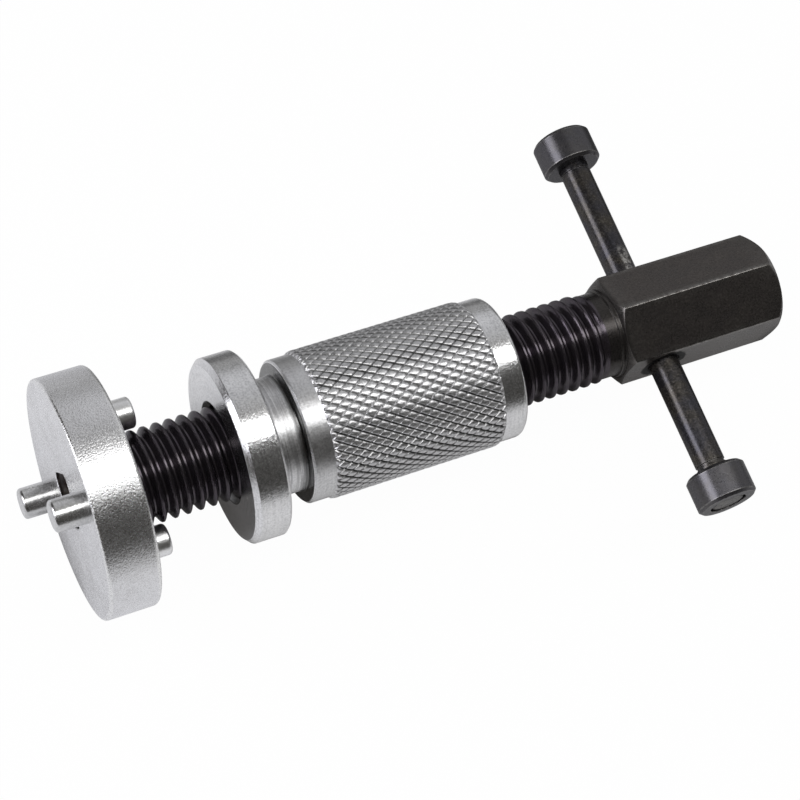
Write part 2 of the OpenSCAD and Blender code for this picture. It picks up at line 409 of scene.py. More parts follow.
@dataclass(frozen=True)
class BrightTurned:
    """Bright plating with a fine grain, lathe lines in the plate groove, oil and painted shade in the
    knurl's grooves, painted shade in the plate groove's corners and the bore's mouth, and a knurl
    painted lighter where it faces the overhead highlight.
    """

    name: str = "bright_turned_plating"
    tint: Colour = (0.86, 0.86, 0.865)
    shade: Colour = (0.56, 0.56, 0.565)
    # Colour of the oil and painted shade in the knurl's grooves, and of painted shade in hollows
    oil_and_shade_tint: Colour = (0.09, 0.09, 0.088)
    soil_tint: Colour = (0.12, 0.115, 0.12)
    lines: Grain = Grain(0.42, 3.0, 0.65)
    grain: Grain = Grain(0.40, 2.0, 0.6)
    smudge: Grain = Grain(7.0, 4.0, 0.6)
    peel: Grain = Grain(1.3)
    line_across: float = 0.03
    line_share: float = 0.35
    bright_edge: Pair = (0.28, 0.66)
    bore_radius: float = 10.1
    collar_front: float = 6.2
    collar_back: float = 10.5
    neck_middle: float = 3.0
    neck_half: float = 2.7
    neck_radius: float = 12.5
    # Where painted shade lies in the plate groove's corners
    corner_edge: Pair = (1.9, 2.9)
    corner_end: float = 3.1
    corner_radius: float = 13.6
    # Painted highlight: the knurl's groove and band darkening ease off where it faces the overhead
    # strip
    highlight_way: Pair = (-0.19, 0.98)
    highlight_edge: Pair = (0.94, 0.985)
    highlight_share: float = 0.65
    neck_soil: float = 0.45
    neck_soil_edge: Pair = (0.40, 0.60)
    # Darkening of the whole knurled band, eased where it faces the highlight
    band_darkening: float = 0.28
    collar_soil: float = 0.2
    # Oil and painted shade darken the knurl's grooves
    knurl_oil_and_shade: float = 0.9
    knurl_oil_and_shade_edge: Pair = (0.12, 0.6)
    # Share of painted shade in the plate groove's corners and the bore's mouth
    corner_shade: float = 0.92
    roughness: float = 0.22
    least_rough: float = 0.06
    smudge_rough: float = 0.12
    grain_rough: float = 0.16
    band_rough: float = 0.15
    neck_rough: float = 0.15
    collar_rough: float = 0.12
    relief: float = 0.046
    line_height: float = 0.08
    neck_line_height: float = 1.2
    grain_height: float = 0.6
    neck_grain_height: float = -0.2
    band_grain_height: float = 0.5
    peel_height: float = 0.5

    def make(self) -> bpy.types.Material:
        """Builds the material.

        Returns:
            The material.
        """
        s = Surface(self.name)
        across = s.across()
        off = (s.x / MM - self.neck_middle).size()
        neck = off.under(self.neck_half) * across.under(self.neck_radius * MM)
        collar = s.x.over(self.collar_front * MM) * s.x.under(self.collar_back * MM)
        corner = off.rise(*self.corner_edge) * off.under(self.corner_end)
        corner = corner * across.under(self.corner_radius * MM)
        groove, band = s.attribute("groove"), s.attribute("band")
        lines = s.rings(self.lines, s.x + across, self.line_across)
        grain, smudge, peel = (s.noise(g) for g in (self.grain, self.smudge, self.peel))
        # Painted highlight: how far the surface faces the overhead strip, which eases the knurl's
        # darkening
        up = (s.y * self.highlight_way[0] + s.z * self.highlight_way[1]) / across
        off_highlight = 1 - up.rise(*self.highlight_edge) * self.highlight_share
        bright = (lines * self.line_share + grain * (1 - self.line_share)).rise(*self.bright_edge)
        soil = neck * lines.rise(*self.neck_soil_edge) * self.neck_soil
        soil = soil.most(band * off_highlight * self.band_darkening).most(collar * self.collar_soil)
        base = s.mix(soil, s.mix(bright, self.shade, self.tint), self.soil_tint)
        # Oil and painted shade in the knurl's grooves, eased where they face the highlight
        base = s.mix(groove.rise(*self.knurl_oil_and_shade_edge) * off_highlight * self.knurl_oil_and_shade, base, self.oil_and_shade_tint)
        # Painted shade in the plate groove's corners and in the bore's mouth
        shaded_hollows = corner.most(across.under(self.bore_radius * MM))
        base = s.mix(shaded_hollows * self.corner_shade, base, self.oil_and_shade_tint)
        rough = smudge.sway(self.smudge_rough) + grain.sway(self.grain_rough) + self.roughness
        rough = rough + band * self.band_rough + neck * self.neck_rough + collar * self.collar_rough
        height = lines * (neck * self.neck_line_height + self.line_height) + peel * self.peel_height
        fine = neck * self.neck_grain_height + band * self.band_grain_height + self.grain_height
        return s.finish({
            "Base Color": base,
            "Metallic": 1.0,
            "Roughness": rough.most(self.least_rough),
            "Normal": s.bump(height + grain * fine, self.relief),
        })


@dataclass(frozen=True)
class BlastedPlate:
    """Satin plating over a bead-blasted surface, with bright handled edges and painted shade inside
    the square hole.
    """

    name: str = "blasted_satin_plating"
    tint: Colour = (0.87, 0.87, 0.88)
    shade: Colour = (0.60, 0.595, 0.595)
    edge_tint: Colour = (0.93, 0.93, 0.92)
    # Painted shade on the walls of the square hole
    hole_shade_tint: Colour = (0.11, 0.095, 0.09)
    hole_front: float = -36.8
    hole_back: float = -27.2
    hole_radius: float = 7.6
    grain: Grain = Grain(0.31, 2.5, 0.6)
    coarse: Grain = Grain(1.24)
    cloud: Grain = Grain(6.0, 3.0)
    cloud_share: float = 0.3
    bright_edge: Pair = (0.3, 0.62)
    worn_edge: Pair = (0.35, 0.6)
    roughness: float = 0.27
    least_rough: float = 0.1
    grain_rough: float = 0.3
    cloud_rough: float = 0.1
    relief: float = 0.075
    grain_height: float = 0.85
    coarse_height: float = 0.3

    def make(self) -> bpy.types.Material:
        """Builds the material.

        Returns:
            The material.
        """
        s = Surface(self.name)
        grain, coarse, cloud = (s.noise(g) for g in (self.grain, self.coarse, self.cloud))
        bright = (grain * (1 - self.cloud_share) + cloud * self.cloud_share).rise(*self.bright_edge)
        base = s.mix(bright, self.shade, self.tint)
        base = s.mix(s.attribute("wear") * grain.rise(*self.worn_edge), base, self.edge_tint)
        # Painted shade inside the square hole
        hole = s.x.over(self.hole_front * MM) * s.x.under(self.hole_back * MM)
        base = s.mix(hole * s.across().under(self.hole_radius * MM), base, self.hole_shade_tint)
        rough = grain.sway(self.grain_rough) + cloud.sway(self.cloud_rough) + self.roughness
        height = grain * self.grain_height + coarse * self.coarse_height
        return s.finish({
            "Base Color": base,
            "Metallic": 1.0,
            "Roughness": rough.most(self.least_rough),
            "Normal": s.bump(height, self.relief),
        })


@dataclass(frozen=True)
class PolishedSteel:
    """Ground and polished steel with faint rings."""

    name: str
    tint: Colour
    shade: Colour
    roughness: float
    relief: float = 0.018
    ring: Grain = Grain(0.34, 3.0, 0.6)
    grain: Grain = Grain(0.34, 2.0, 0.6)
    smudge: Grain = Grain(1.6, 3.0)
    ring_across: float = 0.04
    ring_share: float = 0.4
    smudge_share: float = 0.4
    bright_edge: Pair = (0.3, 0.65)
    rough_sway: float = 0.12
    least_rough: float = 0.05

    def make(self) -> bpy.types.Material:
        """Builds the material.

        Returns:
            The material.
        """
        s = Surface(self.name)
        rings = s.rings(self.ring, s.x, self.ring_across)
        grain, smudge = s.noise(self.grain), s.noise(self.smudge)
        bright = grain * (1 - self.smudge_share) + smudge * self.smudge_share
        rough = smudge.sway(self.rough_sway) + grain.sway(self.rough_sway) + self.roughness
        height = rings * self.ring_share + grain * (1 - self.ring_share)
        return s.finish({
            "Base Color": s.mix(bright.rise(*self.bright_edge), self.shade, self.tint),
            "Metallic": 1.0,
            "Roughness": rough.most(self.least_rough),
            "Normal": s.bump(height, self.relief),
        })


@dataclass(frozen=True)
class RubbedPatch:
    """Where the sliding bar is rubbed bare: its reach along X and along Y."""

    x: Pair
    y: Pair
    fade_x: float = 0.9
    fade_y: Pair = (1.0, 2.0)
    edge: Pair = (0.34, 0.62)
    share: float = 0.9
    rough: float = 0.35

    def mask(self, s: Surface, blotch: Wire) -> Wire:
        """Share of bare steel.

        Args:
            s: The surface.
            blotch: Noise that breaks the patch up.

        Returns:
            A value from 0 to 1.
        """
        along = s.y.rise_mm(self.y[0], self.y[0] + self.fade_y[0])
        along = along * (1 - s.y.rise_mm(self.y[1] - self.fade_y[1], self.y[1]))
        over = s.x.rise_mm(self.x[0], self.x[0] + self.fade_x)
        over = over * (1 - s.x.rise_mm(self.x[1] - self.fade_x, self.x[1]))
        return along * over * blotch.rise(*self.edge) * self.share


@dataclass(frozen=True)
class PaintedHoleShade:
    """Painted shade round the bar's hole, where its gap and countersink lie dark: the hole's place
    along X and the shade's radius.
    """

    x: float
    radius: float
    fade: float = 0.6
    ragged: float = 1.6
    rough: float = 0.3

    def mask(self, s: Surface, blotch: Wire) -> Wire:
        """Share of painted shade.

        Args:
            s: The surface.
            blotch: Noise that makes the shade's edge ragged.

        Returns:
            A value from 0 to 1.
        """
        along = s.x - self.x * MM
        apart = (along * along + s.z * s.z).root() / MM + blotch.sway(self.ragged)
        return 1 - apart.rise(self.radius - self.fade, self.radius)


@dataclass(frozen=True)
class BlackOxide:
    """Black oxide on steel, oiled, with a brown cast and bare metal on worn edges.

    The last five fields are marks that one piece or another has: a rubbed patch, painted shade round
    the bar's hole, painted shade on a front end, painted shade below the thread's crests and lathe
    streaks.
    """

    name: str
    tint: Colour
    brown: Colour
    bare: Colour = (0.46, 0.45, 0.43)
    # Near-black, for dark grain and for painted shade
    soot_and_shade: Colour = (0.006, 0.006, 0.006)
    grain: Grain = Grain(0.36, 2.5, 0.65)
    cloud: Grain = Grain(4.0, 4.0, 0.6)
    blotch: Grain = Grain(1.1, 4.0, 0.7)
    streaks: Grain = Grain(0.16)
    streak_across: float = 0.05
    brown_edge: Pair = (0.32, 0.7)
    mottle: float = 0.35
    mottle_edge: Pair = (0.3, 0.66)
    wear: float = 0.6
    wear_edge: Pair = (0.30, 0.66)
    speckle: float = 0.0
    speckle_edge: Pair = (0.55, 0.72)
    speckle_cloud: Pair = (0.42, 0.66)
    metallic: float = 0.8
    rim: float = 0.55
    roughness: float = 0.24
    least_rough: float = 0.08
    rough_grain: float = 0.22
    rough_cloud: float = 0.10
    rough_patch: float = 0.0
    oil: float = 0.0
    oil_rough: float = 0.16
    relief: float = 0.010
    blotch_height: float = 0.2
    front_fade: float = 0.5
    front_shade: float = 0.5
    patch: Optional[RubbedPatch] = None
    hole_shadow: Optional[PaintedHoleShade] = None
    front_end: Optional[float] = None
    root_shade: float = 0.0
    streak: float = 0.0

    def make(self) -> bpy.types.Material:
        """Builds the material.

        Returns:
            The material.
        """
        s = Surface(self.name)
        grain, cloud, blotch = (s.noise(g) for g in (self.grain, self.cloud, self.blotch))
        worn = s.attribute("wear")
        bare = worn * blotch.rise(*self.wear_edge) * self.wear
        rough = grain.sway(self.rough_grain) + cloud.sway(self.rough_cloud) + self.roughness
        rough = rough + blotch.sway(self.rough_patch)
        if self.patch is not None:
            rubbed = self.patch.mask(s, blotch)
            bare = bare.most(rubbed)
            rough = rough + rubbed * self.patch.rough
        fleck = grain.rise(*self.speckle_edge) * cloud.rise(*self.speckle_cloud) * self.speckle
        base = s.mix(cloud.rise(*self.brown_edge), self.tint, self.brown)
        base = s.mix((1 - grain.rise(*self.mottle_edge)) * self.mottle, base, self.soot_and_shade)
        base = s.mix(bare.most(fleck), base, self.bare)
        # Painted shade below the thread's crests, from the depth that the wear attribute carries
        if self.root_shade > 0:
            base = s.mix((1 - worn) * self.root_shade, base, self.soot_and_shade)
        # Painted shade on the piece's front end
        if self.front_end is not None:
            front = 1 - s.x.rise_mm(self.front_end - self.front_fade, self.front_end + self.front_fade)
            base = s.mix(front * self.front_shade, base, self.soot_and_shade)
        # Painted shade round the bar's hole, which is also made rougher
        if self.hole_shadow is not None:
            hole_shadowed = self.hole_shadow.mask(s, blotch)
            base = s.mix(hole_shadowed, base, self.soot_and_shade)
            rough = rough + hole_shadowed * self.hole_shadow.rough
        height = grain * (1 - self.blotch_height) + blotch * self.blotch_height
        if self.streak > 0:
            height = height + s.rings(self.streaks, s.x, self.streak_across) * self.streak
        return s.finish({
            "Base Color": base,
            "Metallic": (bare + self.metallic).least(1.0),
            "Roughness": rough.most(self.least_rough),
            "Specular Tint": (self.rim, self.rim, self.rim),
            "Coat Weight": self.oil,
            "Coat Roughness": self.oil_rough,
            "Normal": s.bump(height, self.relief),
        })


def heading(angle: float) -> Vector:
    """The way that an angle in radians points, across an axis."""
    return Vector((math.cos(angle), math.sin(angle)))


@dataclass(frozen=True)
class Corner:
    """One corner of a turned outline: place along the axis, radius, rounding and wear."""

    along: float
    radius: float
    rounding: float = 0.0
    wear: float = 0.0


@dataclass(frozen=True)
class Station:
    """One ring of a turned mesh, with its share of edge wear."""

    along: float
    radius: float
    wear: float = 0.0


@dataclass(frozen=True)
class Outline:
    """A turned outline with rounded corners."""

    corners: tuple[Corner, ...]
    closed: bool = False
    rub: float = 1.0
    arc_steps: int = 5
    arc_room: float = 0.45
    support: float = 0.12
    support_room: float = 0.5

    def stations(self) -> list[Station]:
        """Rounds the corners.

        Returns:
            The rings, in the outline's order.
        """
        made: list[Station] = []
        count = len(self.corners)
        for i, corner in enumerate(self.corners):
            if corner.rounding <= 0 or (not self.closed and i in (0, count - 1)):
                made.append(Station(corner.along, corner.radius, corner.wear))
                continue
            made += self.rounded(self.corners[i - 1], corner, self.corners[(i + 1) % count])
        return made

    def rounded(self, before: Corner, corner: Corner, after: Corner) -> list[Station]:
        """Rounds one corner, with a ring beside the round on both sides.

        Args:
            before: The corner before it.
            corner: The corner.
            after: The corner after it.

        Returns:
            Its rings.
        """
        here = Vector((corner.along, corner.radius))
        back = Vector((before.along, before.radius)) - here
        ahead = Vector((after.along, after.radius)) - here
        half = back.angle(ahead) / 2
        room = self.arc_room * min(back.length, ahead.length)
        reach = min(corner.rounding / math.tan(half), room)
        size = reach * math.tan(half)
        u, v = back.normalized(), ahead.normalized()
        centre = here + (u + v).normalized() * (size / math.sin(half))
        a, b = here + u * reach - centre, here + v * reach - centre
        arc = []
        for k in range(self.arc_steps + 1):
            t = k / self.arc_steps
            p = centre + (a * (1 - t) + b * t).normalized() * size
            arc.append(Station(p.x, p.y, self.rub))
        beside = []
        far = reach + self.support
        for way, length in ((u, back.length), (v, ahead.length)):
            p = here + way * far
            fits = far < self.support_room * length
            beside.append([Station(p.x, p.y, corner.wear)] if fits else [])
        return beside[0] + arc + beside[1]


def new_piece(name: str, mesh: bpy.types.Mesh) -> bpy.types.Object:
    """Puts a mesh in the scene as an object at the origin.

    Args:
        name: The piece's name.
        mesh: Its mesh.

    Returns:
        The object.
    """
    piece = bpy.data.objects.new(name, mesh)
    bpy.context.scene.collection.objects.link(piece)
    return piece


def mesh_from(bm: bmesh.types.BMesh, name: str, sharp: float = SHARP) -> bpy.types.Mesh:
    """Closes a bmesh into a smooth mesh with sharp edges where it turns.

    Args:
        bm: The shape, which is freed.
        name: The mesh's name.
        sharp: Angle over which an edge stays sharp, in degrees.

    Returns:
        The mesh.
    """
    bmesh.ops.remove_doubles(bm, verts=bm.verts, dist=WELD)
    bmesh.ops.recalc_face_normals(bm, faces=bm.faces)
    for face in bm.faces:
        face.smooth = True
    mesh = bpy.data.meshes.new(name)
    bm.to_mesh(mesh)
    bm.free()
    mesh.set_sharp_from_angle(angle=math.radians(sharp))
    return mesh


class RingMesh:
    """Builds a mesh from rings of equal count."""

    def __init__(self) -> None:
        """Starts an empty mesh that carries edge wear."""
        self.bm = bmesh.new()
        self.wear = self.bm.verts.layers.float.new("wear")
        self.rings: list[list[bmesh.types.BMVert]] = []

    def ring(self, places: Sequence[Vector], wear: Sequence[float]) -> None:
        """Adds one ring, or one point where a single place is given.

        Args:
            places: Places in millimetres.
            wear: Edge wear at each of them.
        """
        verts = [self.bm.verts.new(p * MM) for p in places]
        for vert, share in zip(verts, wear):
            vert[self.wear] = share
        self.rings.append(verts)

    def round_ring(
        self, s: Station, sides: int, axis: Axis = Axis.TOOL, centre: Vector = Vector((0, 0, 0))
    ) -> None:
        """Adds a round ring, or one point where its radius is nothing.

        Args:
            s: Its place along the axis, its radius and its wear.
            sides: Number of flats round it.
            axis: The axis that it lies about.
            centre: A point on that axis, in millimetres.
        """
        count = sides if s.radius > ON_AXIS else 1
        places = []
        for j in range(count):
            angle = TURN * j / count
            c, d = s.radius * math.cos(angle), s.radius * math.sin(angle)
            local = Vector((s.along, c, d)) if axis is Axis.TOOL else Vector((d, s.along, c))
            places.append(centre + local)
        self.ring(places, [s.wear] * count)

    def join(self, closed: bool) -> list[bmesh.types.BMFace]:
        """Joins each ring to the next one.

        Args:
            closed: Whether the last ring joins the first one.

        Returns:
            The faces.
        """
        pairs = list(zip(self.rings, self.rings[1:]))
        if closed:
            pairs.append((self.rings[-1], self.rings[0]))
        faces = []
        for a, b in pairs:
            n = max(len(a), len(b))
            for j in range(n):
                k = (j + 1) % n
                loop = [a[j % len(a)], a[k % len(a)], b[k % len(b)], b[j % len(b)]]
                faces.append(self.bm.faces.new(list(dict.fromkeys(loop))))
        return faces


def turned_mesh(
    outline: Outline,
    name: str,
    sides: int,
    axis: Axis = Axis.TOOL,
    centre: Vector = Vector((0, 0, 0)),
) -> bpy.types.Mesh:
    """Turns an outline about an axis.

    Args:
        outline: The outline.
        name: The mesh's name.
        sides: Number of flats round it.
        axis: The axis that it turns about.
        centre: A point on that axis, in millimetres.

    Returns:
        The mesh.
    """
    rings = RingMesh()
    for s in outline.stations():
        rings.round_ring(s, sides, axis, centre)
    rings.join(outline.closed)
    return mesh_from(rings.bm, name)


def grown(
    name: str,
    mesh: bpy.types.Mesh,
    build: Callable[[Graph, dict[str, Wire], Wire], Wire],
    inputs: dict[str, float],
    material: bpy.types.Material,
) -> bpy.types.Object:
    """Runs a Geometry Nodes tree on a mesh and keeps the result as a plain mesh.

    Args:
        name: The piece's name.
        mesh: The mesh that the tree starts from.
        build: Adds the tree's nodes, from its inputs and the geometry, and gives the geometry.
        inputs: The tree's sizes, by name.
        material: The finish that the tree sets.

    Returns:
        The piece.
    """
    tree = bpy.data.node_groups.new(name + "_tree", "GeometryNodeTree")
    tree.interface.new_socket("Geometry", in_out="INPUT", socket_type="NodeSocketGeometry")
    tree.interface.new_socket("Geometry", in_out="OUTPUT", socket_type="NodeSocketGeometry")
    sockets = {
        key: tree.interface.new_socket(key, in_out="INPUT", socket_type="NodeSocketFloat")
        for key in inputs
    }
    graph = Graph(tree)
    entry = graph.node("NodeGroupInput")
    wires = {key: Wire(graph, entry.outputs[key]) for key in inputs}
    shape = build(graph, wires, Wire(graph, entry.outputs["Geometry"]))
    shape = graph.out("GeometryNodeRealizeInstances", None, {"Geometry": shape})
    shape = graph.out("GeometryNodeSetMaterial", None, {"Geometry": shape, "Material": material})
    graph.node("NodeGroupOutput", None, {"Geometry": shape})
    piece = new_piece(name, mesh)
    modifier = piece.modifiers.new("shape", "NODES")
    modifier.node_group = tree
    for key, value in inputs.items():
        modifier[sockets[key].identifier] = float(value)
    plain(piece)
    return piece


def plain(piece: bpy.types.Object) -> None:
    """Replaces a piece's mesh by what its modifiers make of it.

    Args:
        piece: The piece, whose modifiers are removed.
    """
    bpy.context.view_layer.update()
    depsgraph = bpy.context.evaluated_depsgraph_get()
    made = bpy.data.meshes.new_from_object(
        piece.evaluated_get(depsgraph), preserve_all_data_layers=True, depsgraph=depsgraph
    )
    made.name = piece.name
    piece.modifiers.clear()
    piece.data = made


def reshape(
    piece: bpy.types.Object,
    work: Optional[Callable[[bmesh.types.BMesh], None]] = None,
    sharp: float = SHARP,
) -> None:
    """Rebuilds a piece's mesh, with its materials.

    Args:
        piece: The piece.
        work: What is done to its bmesh first.
        sharp: Angle over which an edge stays sharp, in degrees.
    """
    materials = list(piece.data.materials)
    bm = bmesh.new()
    bm.from_mesh(piece.data)
    if work is not None:
        work(bm)
    piece.data = mesh_from(bm, piece.name, sharp)
    for material in materials:
        piece.data.materials.append(material)


def merge_slivers(bm: bmesh.types.BMesh) -> None:
    """Merges the slivers that a cut leaves along its edges, and splits its many-sided faces.

    Args:
        bm: The cut shape.
    """
    bmesh.ops.remove_doubles(bm, verts=bm.verts, dist=SLIVER)
    bmesh.ops.dissolve_degenerate(bm, dist=SLIVER, edges=bm.edges)
    many_sided = [face for face in bm.faces if len(face.verts) > 4]
    bmesh.ops.triangulate(bm, faces=many_sided, ngon_method="BEAUTY")


def cut(piece: bpy.types.Object, tool_mesh: bpy.types.Mesh) -> None:
    """Cuts a closed shape out of a piece.

    Args:
        piece: The piece.
        tool_mesh: The closed shape that is cut away.
    """
    tool = new_piece("cutter", tool_mesh)
    modifier = piece.modifiers.new("cut", "BOOLEAN")
    modifier.operation = "DIFFERENCE"
    modifier.solver = "EXACT"
    modifier.object = tool
    plain(piece)
    bpy.data.objects.remove(tool)
    reshape(piece, merge_slivers)


def dress(
    piece: bpy.types.Object,
    body: str,
    node: str,
    material: Optional[bpy.types.Material] = None,
) -> None:
    """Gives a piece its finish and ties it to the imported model.

    Args:
        piece: The piece.
        body: The body that it rides on.
        node: The solid that it stands for.
        material: Its finish, unless its mesh has one.
    """
    if material is not None:
        piece.data.materials.clear()
        piece.data.materials.append(material)
    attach(piece, body)
    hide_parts(node)
    LOG.info("%s: %d faces on %s", piece.name, len(piece.data.polygons), body)


@dataclass(frozen=True)
class ThrustSleeve:
    """Flange, plate groove and knurled grip."""

    flange_front: float = -7.0
    flange_r: float = 18.0
    flange_chamfer: float = 1.0
    rim_chamfer: float = 0.5
    neck_r: float = 11.25
    groove_w: float = 6.0
    collar_r: float = 14.0
    knurl_front: float = 10.4
    knurl_back: float = 45.2
    knurl_rise: float = 0.5
    back: float = 50.0
    rear_round: float = 1.0
    bore_r: float = 9.08
    bore_chamfer: float = 0.9
    edge: float = 0.12
    edge_steps: int = 2
    fillet: float = 0.35
    skin: float = 0.2
    crease_angle: float = 30.0
    starts: int = 48
    steps: int = 8
    rows: int = 96
    groove_depth: float = 0.43
    groove_half: float = 0.17
    cross_half: float = 0.135
    cross_depth: float = 0.76
    # Share of the cross grooves in the knurl's oil and painted shade
    cross_oil_and_shade: float = 0.62
    dome: float = 0.32
    fade: float = 1.2

    def outline(self) -> list[Station]:
        """The turned outline with the rows of the knurled band.

        Returns:
            The rings, from the bore round the outside and back.
        """
        mouth = self.bore_r + self.bore_chamfer
        front = Outline((
            Corner(self.flange_front + self.bore_chamfer, self.bore_r),
            Corner(self.flange_front, mouth, self.edge),
            Corner(self.flange_front, self.flange_r - self.flange_chamfer, self.edge),
            Corner(self.flange_front + self.flange_chamfer, self.flange_r, self.edge),
            Corner(-self.rim_chamfer, self.flange_r, self.edge),
            Corner(0, self.flange_r - self.rim_chamfer, self.edge),
            Corner(0, self.neck_r, self.fillet),
            Corner(self.groove_w, self.neck_r, self.fillet),
            Corner(self.groove_w, self.collar_r - self.rim_chamfer, self.edge),
            Corner(self.groove_w + self.rim_chamfer, self.collar_r, self.edge),
            Corner(self.knurl_front, self.collar_r),
        ), arc_steps=self.edge_steps).stations()
        rear = Outline((
            Corner(self.knurl_back, self.collar_r),
            Corner(self.back, self.collar_r, self.rear_round),
            Corner(self.back, mouth, self.edge),
            Corner(self.back - self.bore_chamfer, self.bore_r),
        )).stations()
        pitch = (self.knurl_back - self.knurl_front) / self.rows
        band = []
        for i in range(1, self.rows):
            x = self.knurl_front + i * pitch
            rise = min(self.knurl_rise, x - self.knurl_front, self.knurl_back - x)
            band.append(Station(x, self.collar_r + rise))
        return front + band + rear

    def blank(self) -> bpy.types.Mesh:
        """The sleeve before its knurl is rolled.

        Returns:
            The mesh, with a point in the middle of each face of the band.
        """
        rings = RingMesh()
        for s in self.outline():
            rings.round_ring(s, self.starts * self.steps)
        low, high = self.knurl_front * MM - WELD, self.knurl_back * MM + WELD
        under = (self.collar_r - self.skin) * MM
        band = [
            face for face in rings.join(True)
            if all(low <= v.co.x <= high and v.co.yz.length > under for v in face.verts)
        ]
        bmesh.ops.poke(rings.bm, faces=band)
        return mesh_from(rings.bm, "sleeve_blank")

    def knurl(self, g: Graph, size: dict[str, Wire], shape: Wire) -> Wire:
        """Presses two crossing sets of helical grooves into the band.

        Args:
            g: The tree.
            size: Its inputs.
            shape: The blank.

        Returns:
            The knurled sleeve.
        """
        x, y, z = g.axes(g.out("GeometryNodeInputPosition"))
        along = (x / MM - size["Front"]) / size["Lead"]
        turn = g.math("ARCTAN2", z, y) / TURN * size["Starts"]
        radius = (y * y + z * z).root() / MM
        first, second = self.away(along - turn), self.away(along + turn)
        deep = (1 - first / size["Groove"]).most(0.0)
        cross = (1 - second / size["Cross groove"]).most(0.0) * size["Cross depth"]
        sides = (0.5 - first) * (0.5 - first) + (0.5 - second) * (0.5 - second)
        press = deep.most(cross) * (1 - size["Dome"]) + sides * 2 * size["Dome"]
        half = (self.knurl_back - self.knurl_front) / 2
        inset = half - (x / MM - self.knurl_front - half).size()
        on_band = radius.over(self.collar_r - self.skin) * inset.over(self.edge)
        pressed = (radius - press * size["Depth"]).most(radius.least(size["Floor"]))
        scale = pressed / radius
        shape = g.out("GeometryNodeSetPosition", None, {
            "Geometry": shape,
            "Selection": on_band,
            "Position": g.vector(x, y * scale, z * scale),
        })
        # The groove mask carries oil and painted shade into the knurl's grooves
        groove_oil_and_shade = deep.most(cross * self.cross_oil_and_shade) * inset.rise(0.0, self.fade)
        return g.store(g.store(shape, "groove", groove_oil_and_shade, on_band), "band", on_band, on_band)

    @staticmethod
    def away(lane: Wire) -> Wire:
        """Distance from the groove in the middle of each lane, in lanes."""
        return (lane.part() - 0.5).size()

    def build(self) -> None:
        """Makes and dresses the sleeve."""
        lead = (self.knurl_back - self.knurl_front) / self.rows * self.steps
        piece = grown("thrust_sleeve_knurled", self.blank(), self.knurl, {
            "Front": self.knurl_front,
            "Lead": lead,
            "Starts": self.starts,
            "Groove": self.groove_half,
            "Cross groove": self.cross_half,
            "Cross depth": self.cross_depth,
            "Dome": self.dome,
            "Depth": self.groove_depth,
            "Floor": self.collar_r,
        }, BrightTurned().make())
        reshape(piece, sharp=self.crease_angle)
        self.crease(piece.data)
        dress(piece, "sleeve", "thrust_sleeve")

    def crease(self, mesh: bpy.types.Mesh) -> None:
        """Keeps the ends of the knurled band sharp.

        Args:
            mesh: The sleeve's mesh.
        """
        ends = (self.knurl_front * MM, self.knurl_back * MM)
        for edge in mesh.edges:
            xs = [mesh.vertices[i].co.x for i in edge.vertices]
            if any(max(abs(x - end) for x in xs) < SEAM for end in ends):
                edge.use_edge_sharp = True


